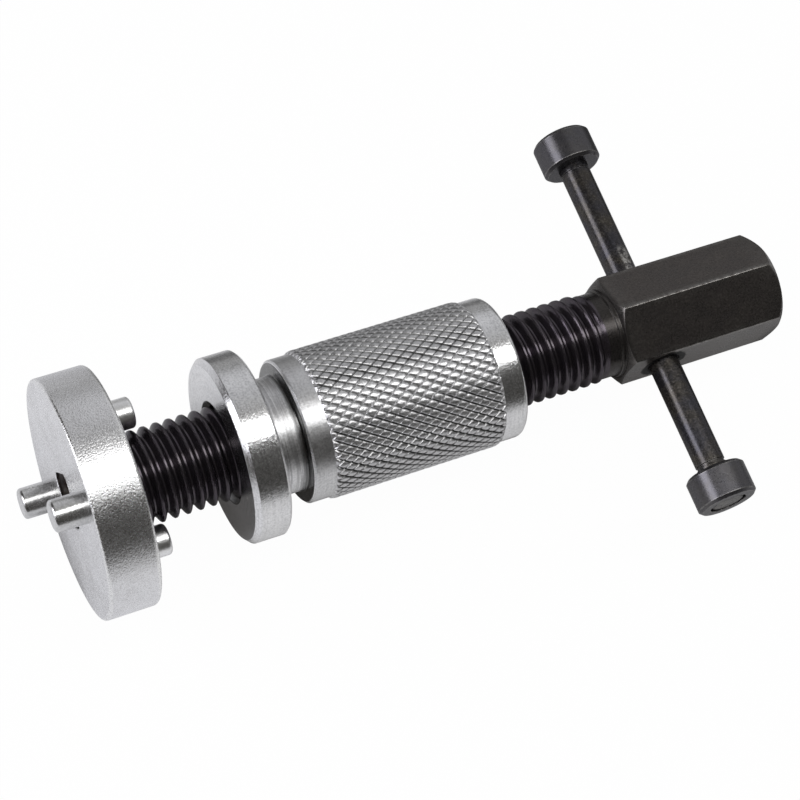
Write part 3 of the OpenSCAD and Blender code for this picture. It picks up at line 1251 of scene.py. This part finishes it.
@dataclass(frozen=True)
class Spindle:
    """Screw with its drive square and its hex head."""

    shoulder: float = -26.95
    thread_r: float = 9.0
    pitch: float = 2.5
    thread_depth: float = 1.35
    crest: float = 1 / 8
    root: float = 0.12
    roundness: float = 0.40
    crest_phase: float = -0.048
    chamfer: float = 1.2
    thread_back: float = 68.2
    runout_end: float = 70.5
    columns: int = 16
    segments: int = 96
    spare_turns: int = 3
    lead_turns: int = 2
    crest_wear: float = 0.25
    thread_sharp: float = 40.0
    neck_front: float = 70.3
    neck_r: float = 8.5
    neck_round: float = 0.25
    step_front: float = 72.9
    step_r: float = 8.9
    step_round: float = 0.15
    step_rub: float = 0.3
    hex_front: float = 73.7
    hex_back: float = 108.4
    hex_half: float = 9.5
    land_r: float = 9.2
    land_round: float = 0.12
    back_round: float = 0.1
    back_lead: float = 0.3
    front_slope: float = 30.0
    back_slope: float = 45.0
    chamfer_shares: tuple[float, ...] = (0.12, 0.5, 0.95)
    ease: float = 0.05
    flat_rings: int = 8
    flat_steps: int = 16
    corner_steps: int = 6
    corner_round: float = 0.4
    corner_wear: tuple[float, ...] = (1.0, 0.7, 0.35)
    chamfer_wear: float = 0.6
    turned_wear: float = 0.25
    bar_x: float = 82.3
    bar_hole_r: float = 3.1
    bar_hole_chamfer: float = 0.4
    cutter_past: float = 2.0
    cutter_sides: int = 64
    tang_lap: float = 0.02
    tang_chamfer: Pair = (0.2, 0.95)

    def thread(self, g: Graph, size: dict[str, Wire], shape: Wire) -> Wire:
        """Winds a V thread round the axis, on a grid whose columns follow the helix.

        Args:
            g: The tree.
            size: Its inputs.
            shape: An empty mesh, which is not used.

        Returns:
            The thread's skin, with open ends.
        """
        turns = round((self.runout_end - self.shoulder) / self.pitch) + self.spare_turns
        count = turns * self.columns
        grid = g.out("GeometryNodeMeshGrid", None, {
            "Size X": float(count),
            "Size Y": float(self.segments),
            "Vertices X": count + 1,
            "Vertices Y": self.segments + 1,
        })
        i, j, _ = g.axes(g.out("GeometryNodeInputPosition"))
        lane = (i + count / 2) / self.columns
        turn = j / self.segments
        before = math.ceil((self.crest_phase - self.shoulder) / self.pitch + self.lead_turns)
        free = (lane + turn) * size["Pitch"] + (self.crest_phase - before * self.pitch)
        away = ((lane + 0.5).part() - 0.5).size()
        flank = (1 - self.crest - self.root) / 2
        depth = ((away - self.crest / 2) / flank).most(0.0).least(1.0)
        depth = depth - (depth * TURN).sine() * size["Roundness"] / TURN
        fade = 1 - free.rise(self.thread_back, self.runout_end)
        radius = size["Radius"] - depth * size["Depth"]
        radius = size["Neck"] + (radius - size["Neck"]) * fade
        low, high = size["Front"], size["Back"]
        tip = self.thread_r - self.chamfer
        radius = radius.least(free - low + tip)
        within = free.over(low) * (1 - free.over(high))
        radius = radius * within + (1 - free.over(low)) * tip + free.over(high) * size["Neck"]
        along = free.most(low).least(high)
        angle = turn * TURN
        skin = g.out("GeometryNodeSetPosition", None, {
            "Geometry": grid,
            "Position": g.vector(along * MM, angle.cosine() * radius * MM, angle.sine() * radius * MM),
        })
        skin = g.store(skin, "wear", 1 - depth.rise(0.0, self.crest_wear))
        return g.out("GeometryNodeMergeByDistance", None, {"Geometry": skin, "Distance": SEAM})

    @staticmethod
    def cap(bm: bmesh.types.BMesh) -> None:
        """Closes the thread's two open ends."""
        bmesh.ops.dissolve_degenerate(bm, dist=WELD, edges=bm.edges)
        bmesh.ops.holes_fill(bm, edges=[e for e in bm.edges if e.is_boundary], sides=0)

    def section(self) -> Section:
        """The hex head's rounded section.

        Returns:
            Places across the axis, each with its share of edge wear.
        """
        made = []
        side = math.radians(60)
        reach = (self.hex_half - self.corner_round) / math.cos(side / 2)
        for k in range(6):
            corner = side * (k + 0.5)
            centre = heading(corner) * reach
            for a in range(self.corner_steps + 1):
                way = heading(corner + side * (a / self.corner_steps - 0.5))
                made.append((centre + way * self.corner_round, self.corner_wear[0]))
            first = made[-1][0]
            last = heading(corner + side) * reach + heading(corner + side / 2) * self.corner_round
            for b in range(1, self.flat_steps):
                share = (1 - math.cos(math.pi * b / self.flat_steps)) / 2
                near = min(b, self.flat_steps - b)
                worn = self.corner_wear[near] if near < len(self.corner_wear) else 0.0
                made.append((first.lerp(last, share), worn))
        return made

    def head_mesh(self) -> bpy.types.Mesh:
        """Neck, step and hex head with turned chamfers.

        Returns:
            The closed mesh.
        """
        section = self.section()
        rings = RingMesh()
        front = Outline((
            Corner(self.neck_front, 0.0),
            Corner(self.neck_front, self.neck_r),
            Corner(self.step_front, self.neck_r, self.neck_round),
            Corner(self.step_front, self.step_r, self.step_round),
            Corner(self.hex_front, self.step_r, self.land_round),
            Corner(self.hex_front, self.land_r),
        ), rub=self.step_rub).stations()
        back = Outline((
            Corner(self.hex_back - self.back_lead, self.land_r + self.back_lead),
            Corner(self.hex_back, self.land_r, self.back_round),
            Corner(self.hex_back, 0.0),
        )).stations()[1:]
        slopes = (math.tan(math.radians(self.front_slope)), -math.tan(math.radians(self.back_slope)))
        for s in front:
            self.turned_ring(rings, section, s)
        for share in self.chamfer_shares:
            self.chamfer_ring(rings, section, self.hex_front, slopes[0], share)
        for k in range(self.flat_rings + 1):
            self.flat_ring(rings, section, slopes, k / self.flat_rings)
        for share in self.chamfer_shares[::-1]:
            self.chamfer_ring(rings, section, self.hex_back, slopes[1], share)
        for s in back:
            self.turned_ring(rings, section, s)
        rings.join(False)
        return mesh_from(rings.bm, "hex_head")

    @staticmethod
    def turned_ring(rings: RingMesh, section: Section, s: Station) -> None:
        """Adds a round ring in the section's directions.

        Args:
            rings: The mesh.
            section: The head's section.
            s: The ring's place, radius and wear.
        """
        flat = [p for p, _ in section] if s.radius > ON_AXIS else [Vector((1, 0))]
        places = [Vector((s.along, *(p.normalized() * s.radius))) for p in flat]
        rings.ring(places, [s.wear] * len(places))

    def chamfer_ring(
        self, rings: RingMesh, section: Section, face: float, slope: float, share: float
    ) -> None:
        """Adds a ring on a turned chamfer.

        Args:
            rings: The mesh.
            section: The head's section.
            face: Place of the end face along the axis.
            slope: Length along the axis for each millimetre of radius.
            share: Share of the way from the land to the flats.
        """
        turned = self.turned_wear if share == self.chamfer_shares[-1] else 0.0
        places, wear = [], []
        for p, worn in section:
            rise = (p.length - self.land_r) * share
            places.append(Vector((face + rise * slope, *(p.normalized() * (self.land_r + rise)))))
            wear.append(max(worn * self.chamfer_wear, turned))
        rings.ring(places, wear)

    def flat_ring(self, rings: RingMesh, section: Section, slopes: Pair, share: float) -> None:
        """Adds a ring along the flats.

        Args:
            rings: The mesh.
            section: The head's section.
            slopes: The two chamfers' lengths for each millimetre of radius.
            share: Share of the way along the flats.
        """
        turned = self.turned_wear if share in (0.0, 1.0) else 0.0
        places, wear = [], []
        for p, worn in section:
            rise = (p.length - self.land_r) * (1 + self.ease)
            low = self.hex_front + rise * slopes[0]
            high = self.hex_back + rise * slopes[1]
            places.append(Vector((low + (high - low) * share, *p)))
            wear.append(max(worn, turned))
        rings.ring(places, wear)

    def bar_cutter(self) -> bpy.types.Mesh:
        """The cross hole with both of its countersunk mouths.

        Returns:
            The closed cutter.
        """
        out = self.hex_half + self.cutter_past
        mouth = self.hex_half - self.bar_hole_chamfer
        wide = self.bar_hole_r + self.bar_hole_chamfer + self.cutter_past
        corners = (
            Corner(-out, 0), Corner(-out, wide), Corner(-mouth, self.bar_hole_r),
            Corner(mouth, self.bar_hole_r), Corner(out, wide), Corner(out, 0),
        )
        centre = Vector((self.bar_x, 0, 0))
        return turned_mesh(Outline(corners), "bar_cutter", self.cutter_sides, Axis.BAR, centre)

    def tang_mesh(self) -> bpy.types.Mesh:
        """The drive square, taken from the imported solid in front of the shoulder.

        Returns:
            The closed mesh.
        """
        bm = bmesh.new()
        bm.from_mesh(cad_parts["spindle"].data)
        bmesh.ops.remove_doubles(bm, verts=bm.verts, dist=SEAM)
        for layer in list(bm.loops.layers.uv):
            bm.loops.layers.uv.remove(layer)
        plane = (self.shoulder + self.tang_lap) * MM
        bmesh.ops.bisect_plane(
            bm, geom=[*bm.verts, *bm.edges, *bm.faces], dist=WELD,
            plane_co=(plane, 0, 0), plane_no=(1, 0, 0), clear_outer=True,
        )
        bmesh.ops.holes_fill(bm, edges=[e for e in bm.edges if e.is_boundary], sides=0)
        worn = bm.faces.layers.float.new("wear")
        bm.normal_update()
        low, high = self.tang_chamfer
        for face in bm.faces:
            face[worn] = 1.0 if low < -face.normal.x < high else 0.0
        return mesh_from(bm, "drive_square")

    def build(self) -> None:
        """Makes and dresses the screw, the head and the drive square."""
        # The screw gets painted shade below its crests
        screw = BlackOxide(
            "black_oxide_screw", (0.060, 0.049, 0.063), (0.062, 0.052, 0.060),
            wear=0.05, roughness=0.21, relief=0.022, mottle=0.3, oil=0.2, rim=0.45,
            streak=1.5, root_shade=0.35,
        )
        piece = grown("spindle_thread", bpy.data.meshes.new("thread"), self.thread, {
            "Pitch": self.pitch,
            "Radius": self.thread_r,
            "Depth": self.thread_depth,
            "Roundness": self.roundness,
            "Neck": self.neck_r,
            "Front": self.shoulder,
            "Back": self.runout_end,
        }, screw.make())
        reshape(piece, self.cap, self.thread_sharp)
        dress(piece, "spindle", "spindle")
        head = new_piece("spindle_hex_head", self.head_mesh())
        cut(head, self.bar_cutter())
        # The head gets painted shade on its neck, step and front chamfer, and round the bar's hole
        finish = BlackOxide(
            "black_oxide_head", (0.088, 0.079, 0.075), (0.095, 0.085, 0.078),
            roughness=0.30, relief=0.022, wear=0.42, speckle=0.05, rim=0.9,
            hole_shadow=PaintedHoleShade(x=self.bar_x, radius=5.0), front_end=74.4,
        )
        dress(head, "spindle", "spindle", finish.make())
        tang = new_piece("spindle_drive_square", self.tang_mesh())
        finish = BlackOxide(
            "black_oxide_square", (0.080, 0.064, 0.060), (0.100, 0.080, 0.070),
            metallic=1.0, roughness=0.3, wear=0.9, rim=0.3,
        )
        dress(tang, "spindle", "spindle", finish.make())


@dataclass(frozen=True)
class RetainingRing:
    """Open wire ring in the groove of the drive square."""

    place: float = -32.4
    radius: float = 4.5
    wire_r: float = 0.6
    gap_angle: float = 50.0
    steps: int = 64
    wire_sides: int = 20

    def wire(self, g: Graph, size: dict[str, Wire], shape: Wire) -> Wire:
        """Sweeps the wire's round section along an open circle.

        Args:
            g: The tree.
            size: Its inputs.
            shape: An empty mesh, which is not used.

        Returns:
            The ring about the X axis.
        """
        path = g.out("GeometryNodeCurveArc", None, {
            "Resolution": self.steps,
            "Radius": size["Radius"] * MM,
            "Sweep Angle": math.radians(360 - self.gap_angle),
        })
        round_wire = g.out("GeometryNodeCurvePrimitiveCircle", None, {
            "Resolution": self.wire_sides, "Radius": size["Wire"] * MM,
        })
        tube = g.out("GeometryNodeCurveToMesh", None, {
            "Curve": path, "Profile Curve": round_wire, "Fill Caps": True,
        })
        return g.out("GeometryNodeTransform", None, {
            "Geometry": tube,
            "Translation": g.vector(size["Place"] * MM, 0.0, 0.0),
            "Rotation": (0.0, math.radians(90), 0.0),
        })

    def build(self) -> None:
        """Makes and dresses the ring."""
        finish = PolishedSteel(
            "drawn_spring_wire", (0.55, 0.55, 0.54), (0.42, 0.42, 0.41), roughness=0.3
        )
        piece = grown("retaining_ring_wire", bpy.data.meshes.new("ring"), self.wire, {
            "Radius": self.radius, "Wire": self.wire_r, "Place": self.place,
        }, finish.make())
        reshape(piece)
        dress(piece, "ring", "retaining_ring")


@dataclass(frozen=True)
class DrivePin:
    """One pin of the adaptor disc: its node, its angle round the axis and the way it points."""

    node: str
    angle: float
    spread: float
    face: float
    out: float
    radius: float = 3.0
    length: float = 6.0
    seat: float = 5.0
    shoulder: float = 0.3
    end_round: float = 0.2
    rounding: float = 0.7
    sides: int = 64

    def build(self, material: bpy.types.Material) -> None:
        """Makes and dresses the pin.

        Args:
            material: Its finish.
        """
        shank = self.radius - self.shoulder
        inner, tip = self.face - self.out * self.seat, self.face + self.out * self.length
        outline = Outline((
            Corner(inner, 0),
            Corner(inner, shank, self.end_round),
            Corner(self.face - self.out * self.shoulder, shank),
            Corner(self.face, self.radius),
            Corner(tip, self.radius, self.rounding),
            Corner(tip, 0),
        ))
        centre = Vector((0, *heading(math.radians(self.angle)))) * self.spread
        mesh = turned_mesh(outline, self.node, self.sides, centre=centre)
        piece = new_piece(self.node + "_polished", mesh)
        dress(piece, "adaptor", self.node, material)


@dataclass(frozen=True)
class AdaptorDisc:
    """Round disc with a square hole and four pins."""

    front: float = -37.0
    back: float = -27.0
    radius: float = 23.0
    front_round: float = 0.55
    rounding: float = 0.8
    hole: float = 10.4
    hole_corner: float = 1.8
    hole_break: float = 0.15
    hole_angle: float = 25.0
    cutter_past: float = 1.0
    corner_steps: int = 6
    sides: int = 192
    front_spread: float = 16.0
    rear_spread: float = 12.2

    def hole_cutter(self) -> bpy.types.Mesh:
        """The square hole with both of its broken edges.

        Returns:
            The closed cutter.
        """
        rings = RingMesh()
        half, quarter = self.hole / 2, math.radians(90)
        mouth = half + self.hole_break + self.cutter_past
        turn = Matrix.Rotation(math.radians(self.hole_angle), 4, "X")
        stations = (
            (self.front - self.cutter_past, mouth), (self.front + self.hole_break, half),
            (self.back - self.hole_break, half), (self.back + self.cutter_past, mouth),
        )
        for x, reach in stations:
            places = []
            for k in range(4):
                centre = heading(quarter * (k + 0.5)) * ((reach - self.hole_corner) * math.sqrt(2))
                for t in range(self.corner_steps + 1):
                    corner = heading(quarter * (k + t / self.corner_steps)) * self.hole_corner
                    places.append(turn @ Vector((x, *(corner + centre))))
            rings.ring(places, [0.0] * len(places))
        rings.join(False)
        rings.bm.faces.new(rings.rings[0])
        rings.bm.faces.new(rings.rings[-1])
        return mesh_from(rings.bm, "hole_cutter")

    def pins(self) -> list[DrivePin]:
        """The four pins.

        Returns:
            Their places.
        """
        near = self.hole_angle + 90
        return [
            DrivePin("front_drive_pin_near", near, self.front_spread, self.front, -1),
            DrivePin("front_drive_pin_far", near + 180, self.front_spread, self.front, -1),
            DrivePin("rear_drive_pin_upper", self.hole_angle, self.rear_spread, self.back, 1),
            DrivePin("rear_drive_pin_lower", self.hole_angle + 180, self.rear_spread, self.back, 1),
        ]

    def build(self) -> None:
        """Makes and dresses the disc and its pins."""
        outline = Outline((
            Corner(self.front, 0),
            Corner(self.front, self.radius, self.front_round),
            Corner(self.back, self.radius, self.rounding),
            Corner(self.back, 0),
        ))
        disc = new_piece("adaptor_disc_blasted", turned_mesh(outline, "adaptor_disc", self.sides))
        cut(disc, self.hole_cutter())
        dress(disc, "adaptor", "adaptor_disc", BlastedPlate().make())
        # Lit and shaded copies of one polished steel: the front pins are painted darker, the rear pins
        # lighter
        front = PolishedSteel(
            "front_pin_painted_darker", (0.73, 0.73, 0.725), (0.55, 0.55, 0.545), roughness=0.25, relief=0.026
        )
        rear = PolishedSteel(
            "rear_pin_painted_lighter", (0.92, 0.92, 0.915), (0.78, 0.78, 0.775), roughness=0.31, relief=0.026
        )
        finishes = {-1: front.make(), 1: rear.make()}
        for pin in self.pins():
            pin.build(finishes[pin.out])


@dataclass(frozen=True)
class TommyBar:
    """Sliding bar with a collar riveted on each end."""

    x: float = 82.3
    shift: float = 1.0
    radius: float = 3.0
    half_span: float = 41.3
    collar_len: float = 7.0
    collar_r: float = 6.0
    collar_chamfer: float = 0.6
    rivet_recess: float = 0.5
    rivet_r: float = 3.5
    rivet_len: float = 0.9
    rivet_gap: float = 0.2
    rivet_crown: float = 0.36
    crown_drop: float = 0.04
    crown_inset: float = 0.5
    head_drop: float = 0.05
    fit_gap: float = 0.01
    groove_inset: float = 1.0
    groove_w: float = 0.6
    groove_depth: float = 0.25
    bar_rub: float = 0.25
    bar_sides: int = 64
    collar_sides: int = 96
    rubbed_x: Pair = (-0.4, 2.4)
    rubbed_y: Pair = (9.3, 16.0)

    def half_bar(self, side: float) -> list[Corner]:
        """One half of the bar's outline, from its end inwards.

        Args:
            side: 1 towards +Y and -1 towards -Y.

        Returns:
            The corners.
        """
        tip = self.half_span - self.rivet_recess
        seat = tip - self.rivet_len
        groove = self.half_span - self.collar_len - self.groove_inset
        deep = self.radius - self.groove_depth
        crown = tip + self.rivet_crown
        return [Corner(side * a, r, q, w) for a, r, q, w in (
            (crown, 0, 0, 1.0),
            (crown - self.crown_drop, self.rivet_r - self.crown_inset, 0.4, 1.0),
            (tip - self.head_drop, self.rivet_r, 0.25, 0.4),
            (seat, self.rivet_r, 0.1, 0.2),
            (seat, self.radius, 0, 0),
            (groove, self.radius, 0.06, 0),
            (groove, deep, 0.1, 0),
            (groove - self.groove_w, deep, 0.1, 0),
            (groove - self.groove_w, self.radius, 0.06, 0),
        )]

    def collar_outline(self, side: float) -> Outline:
        """A collar's closed outline.

        Args:
            side: 1 towards +Y and -1 towards -Y.

        Returns:
            The outline.
        """
        inner = self.half_span - self.collar_len
        hole = self.radius + self.fit_gap
        seat = self.half_span - self.rivet_recess - self.rivet_len - self.fit_gap
        wide = self.rivet_r + self.rivet_gap
        rim = self.collar_r - self.collar_chamfer
        return Outline(tuple(Corner(side * a, r, q) for a, r, q in (
            (inner, hole, 0.1),
            (inner, rim, 0.15),
            (inner + self.collar_chamfer, self.collar_r, 0.2),
            (self.half_span - self.collar_chamfer, self.collar_r, 0.2),
            (self.half_span, rim, 0.15),
            (self.half_span, wide, 0.12),
            (seat, wide, 0),
            (seat, hole, 0),
        )), closed=True)

    def build(self) -> None:
        """Makes and dresses the bar and its collars."""
        centre = Vector((self.x, self.shift, 0))
        corners = self.half_bar(-1) + self.half_bar(1)[::-1]
        outline = Outline(tuple(corners), rub=self.bar_rub)
        mesh = turned_mesh(outline, "tommy_bar", self.bar_sides, Axis.BAR, centre)
        finish = BlackOxide(
            "black_oxide_bar", (0.056, 0.055, 0.066), (0.070, 0.062, 0.052),
            roughness=0.27, speckle=0.14, rough_grain=0.26, rough_patch=0.42, mottle=0.5,
            oil=0.3, oil_rough=0.28, rim=0.3, relief=0.014,
            patch=RubbedPatch((self.x + self.rubbed_x[0], self.x + self.rubbed_x[1]), self.rubbed_y),
        )
        piece = new_piece("tommy_bar_oxide", mesh)
        dress(piece, "bar", "tommy_bar", finish.make())
        collar = BlackOxide(
            "black_oxide_collar", (0.104, 0.102, 0.112), (0.112, 0.108, 0.110),
            roughness=0.29, wear=0.45, rough_grain=0.10, rough_patch=0.16, mottle=0.20, relief=0.008,
        ).make()
        for name, side in (("tommy_bar_collar_upper", 1), ("tommy_bar_collar_lower", -1)):
            mesh = turned_mesh(self.collar_outline(side), name, self.collar_sides, Axis.BAR, centre)
            dress(new_piece(name + "_oxide", mesh), "bar", name, collar)


@dataclass(frozen=True)
class Studio:
    """Floor, light and camera."""

    floor_z: float = -23.0
    floor_half: float = 900.0
    eye: tuple[float, float, float] = (-103.12, -131.23, 400.22)
    right: tuple[float, float, float] = (0.91057384, -0.37227992, 0.17961887)
    up: tuple[float, float, float] = (0.28442818, 0.87963508, 0.38123843)
    view_angle: float = 19.5677
    strip_height: float = 800.0
    strip_length: float = 1500.0
    strip_width: float = 272.0
    strip_lean: float = 94.0
    strip_power: float = 4.4
    side_aim: tuple[float, float, float] = (-0.87, 0.20, 0.45)
    side_far: float = 800.0
    side_width: float = 560.0
    side_height: float = 440.0
    side_power: float = 3.4
    side_tint: Colour = (0.97, 0.97, 1.03)
    floor_share: float = 0.98
    # Painted glow that reflections see on the floor, stronger in front of the disc
    mirror_share: float = 0.12
    mirror_front: float = 0.5
    mirror_edge: Pair = (-20.0, -5.0)
    mirror_glow: Colour = (0.72, 0.725, 0.76)
    far_edge: Pair = (20.0, 70.0)
    far_front: Pair = (-16.0, 4.0)
    stage_dark: Colour = (0.055, 0.051, 0.047)
    front_floor: Colour = (0.60, 0.60, 0.625)
    # Reach of the painted shadow that reflections see under the tool
    under_edge: Pair = (8.0, 20.0)
    under_front: Pair = (-42.0, -34.0)
    painted_shadow_share: float = 0.85
    far_least: float = 0.35
    paper: Colour = (0.9, 0.9, 0.9)
    white: Colour = (1.0, 1.0, 1.0)
    horizon: Pair = (-0.35, 0.0)
    front_edge: Pair = (-0.12, 0.10)
    strip_x: float = 30.0
    clip_start: float = 0.01

    def floor(self) -> None:
        """Lays a pale floor that keeps the tool's shadow, and shows reflections a painted glow,
        stronger in front of the disc, and a painted shadow under the tool.
        """
        bm = bmesh.new()
        bmesh.ops.create_grid(bm, x_segments=1, y_segments=1, size=self.floor_half * MM)
        bmesh.ops.translate(bm, verts=bm.verts, vec=(0, 0, self.floor_z * MM))
        floor = new_piece("pale_floor", mesh_from(bm, "pale_floor"))
        material = bpy.data.materials.new("pale_paper")
        material.use_nodes = True
        g = Graph(material.node_tree)
        g.tree.nodes.clear()
        rays = g.node("ShaderNodeLightPath").outputs
        seen, glossy, through = (
            Wire(g, rays[f"Is {kind} Ray"]) for kind in ("Camera", "Glossy", "Transmission")
        )
        mirrored = glossy.most(through)
        paper = g.coloured("ShaderNodeBsdfDiffuse", self.paper)
        white, glow, shade = (
            g.coloured("ShaderNodeEmission", colour)
            for colour in (self.white, self.mirror_glow, self.stage_dark)
        )
        away = g.out("ShaderNodeBsdfTransparent")
        x, y, _ = g.axes(g.out("ShaderNodeTexCoord", None, None, "Object"))
        front = x.rise_mm(*self.far_front) * (1 - self.far_least) + self.far_least
        far = y.rise_mm(*self.far_edge) * front
        # Painted shadow under the tool, seen only in reflections
        under = x.rise_mm(*self.under_front) * (1 - y.size().rise_mm(*self.under_edge))
        # Painted glow seen in reflections, stronger in front of the disc
        share = (1 - x.rise_mm(*self.mirror_edge)) * self.mirror_front + self.mirror_share
        shader = g.blend(seen * self.floor_share, paper, white)
        shader = g.blend(mirrored * share, shader, glow)
        shader = g.blend(mirrored * under * self.painted_shadow_share, shader, shade)
        shader = g.blend(mirrored * far, shader, away)
        g.node("ShaderNodeOutputMaterial", None, {0: shader})
        floor.data.materials.append(material)

    def backdrop(self) -> list[tuple[float, Colour]]:
        """The room's brightness round the tool's axis, from under it over +Y, the top and -Y.

        Returns:
            Stops for a colour ramp.
        """
        olive, neutral, blue = (1.0, 0.97, 0.92), (1.0, 1.0, 1.0), (0.985, 0.99, 1.02)
        levels = (
            (-180, 0.30, neutral), (-70, 0.10, neutral), (-36, 0.08, neutral), (-24, 0.17, neutral),
            (-13, 0.40, neutral), (-3, 0.31, neutral), (3, 0.31, neutral), (10, 0.54, blue),
            (24, 0.66, blue), (38, 0.58, blue), (50, 0.51, blue), (63, 0.47, neutral),
            (70, 0.36, neutral), (75, 0.20, olive), (80, 0.30, olive), (84, 0.60, neutral),
            (103, 0.50, neutral), (108, 0.13, olive), (116, 0.07, olive), (172, 0.055, olive),
            (180, 0.30, neutral),
        )
        return [
            ((180 + degrees) / 360, tuple(grey * c for c in tint)) for degrees, grey, tint in levels
        ]

    def room(self) -> None:
        """Lights the room: a pale backdrop behind the tool and a dark room before it."""
        world = bpy.data.worlds.new("studio_room")
        bpy.context.scene.world = world
        world.use_nodes = True
        g = Graph(world.node_tree)
        g.tree.nodes.clear()
        x, y, z = g.axes(g.out("ShaderNodeTexCoord", None, None, "Generated"))
        around = g.math("ARCTAN2", z, y) / TURN + 0.5
        backdrop = g.out("ShaderNodeValToRGB", {"stops": self.backdrop()}, {0: around})
        seen = g.out("ShaderNodeLightPath", None, None, "Is Camera Ray")
        room = g.out("ShaderNodeBackground", None, {"Color": backdrop})
        dark, white, below = (
            g.coloured("ShaderNodeBackground", colour)
            for colour in (self.stage_dark, self.white, self.front_floor)
        )
        front = g.blend(z.rise(*self.horizon), below, dark)
        shader = g.blend(x.rise(*self.front_edge), front, room)
        shader = g.blend(seen, shader, white)
        g.node("ShaderNodeOutputWorld", None, {0: shader})

    @staticmethod
    def panel(
        name: str, place: Vector, size: Pair, power: float, tint: Colour = (1.0, 1.0, 1.0)
    ) -> None:
        """Hangs a soft lamp that faces the tool.

        Args:
            name: Its name.
            place: Its place, in millimetres.
            size: Its length and width, in millimetres.
            power: Its power, in watts.
            tint: Its colour.
        """
        data = bpy.data.lights.new(name, "AREA")
        data.shape = "RECTANGLE"
        data.size, data.size_y = size[0] * MM, size[1] * MM
        data.energy = power
        data.color = tint
        lamp = bpy.data.objects.new(name, data)
        bpy.context.scene.collection.objects.link(lamp)
        lamp.location = place * MM
        away = place.normalized()
        along = Vector((0, 1, 0)) if abs(away.x) > abs(away.z) else Vector((1, 0, 0))
        across = away.cross(along).normalized()
        lamp.rotation_euler = Matrix((across.cross(away), across, away)).transposed().to_euler()
        lamp.visible_camera = False

    def lamps(self) -> None:
        """Hangs a long strip nearly overhead and a panel before the disc."""
        lean = math.radians(self.strip_lean)
        overhead = Vector((self.strip_x, *(heading(lean) * self.strip_height)))
        self.panel("overhead_strip", overhead, (self.strip_length, self.strip_width), self.strip_power)
        side = Vector(self.side_aim).normalized() * self.side_far
        size = (self.side_width, self.side_height)
        self.panel("side_panel", side, size, self.side_power, self.side_tint)

    def camera(self) -> None:
        """Sets the camera at the photograph's viewpoint."""
        data = bpy.data.cameras.new("viewpoint")
        data.angle = math.radians(self.view_angle)
        data.clip_start = self.clip_start
        camera = bpy.data.objects.new("viewpoint", data)
        bpy.context.scene.collection.objects.link(camera)
        right, up = Vector(self.right), Vector(self.up)
        turn = Matrix((right, up, right.cross(up))).transposed().to_4x4()
        camera.matrix_world = Matrix.Translation(Vector(self.eye) * MM) @ turn
        bpy.context.scene.camera = camera

    def build(self) -> None:
        """Sets up the whole studio."""
        self.camera()
        self.floor()
        self.room()
        self.lamps()
        bpy.context.scene.view_settings.view_transform = "Standard"


def main() -> None:
    """Builds the tool's sub-assemblies and the studio."""
    logging.basicConfig(level=logging.INFO, format="%(name)s: %(message)s")
    for part in (Studio(), ThrustSleeve(), Spindle(), RetainingRing(), AdaptorDisc(), TommyBar()):
        part.build()
        LOG.info("%s is done", type(part).__name__)


if __name__ == "__main__":
    main()
